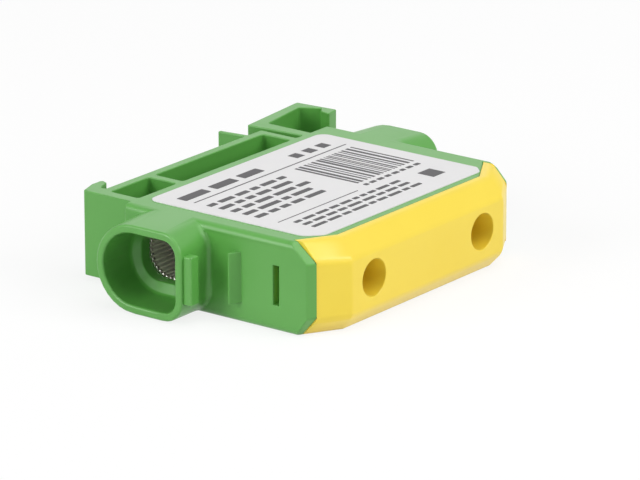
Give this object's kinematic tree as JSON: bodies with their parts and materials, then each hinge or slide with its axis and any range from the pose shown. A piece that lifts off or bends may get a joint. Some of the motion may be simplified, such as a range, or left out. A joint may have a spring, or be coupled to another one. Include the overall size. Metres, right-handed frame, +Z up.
{
  "type": "rail-mounted terminal block",
  "caption": "Flat rail-mounted terminal block with funnel wire entries at both ends, a snap-in screw cover, a clamping bar inside and a hooked foot for a 35 mm rail.",
  "frame": {"origin": "middle of the underside of the whole part, lying on its plain broad side", "axes": "+X along the wire axis, -Y out of the screw cover, +Y towards the mounting rail, +Z up through the labelled side"},
  "size_m": [0.0682, 0.052, 0.0152],
  "materials": {
    "green_polyamide": "satin moulded",
    "yellow_polyamide": "satin moulded",
    "tinned_aluminium": "satin tin plate",
    "zinc_plated_steel": "zinc plated",
    "label_film": "printed film"
  },
  "bodies": {
    "block": {"housing": "green_polyamide", "front_cover": "yellow_polyamide", "terminal_bar": "tinned_aluminium", "label": "label_film"},
    "left_screw": {"clamp_screw_left": "zinc_plated_steel"},
    "right_screw": {"clamp_screw_right": "zinc_plated_steel"}
  },
  "joints": [
    {"name": "left_screw_travel", "type": "slide", "parent": "block", "child": "left_screw", "axis": [0, 1, 0], "range_m": [0, 0.0065]},
    {"name": "right_screw_travel", "type": "slide", "parent": "block", "child": "right_screw", "axis": [0, 1, 0], "range_m": [0, 0.0065]}
  ]
}
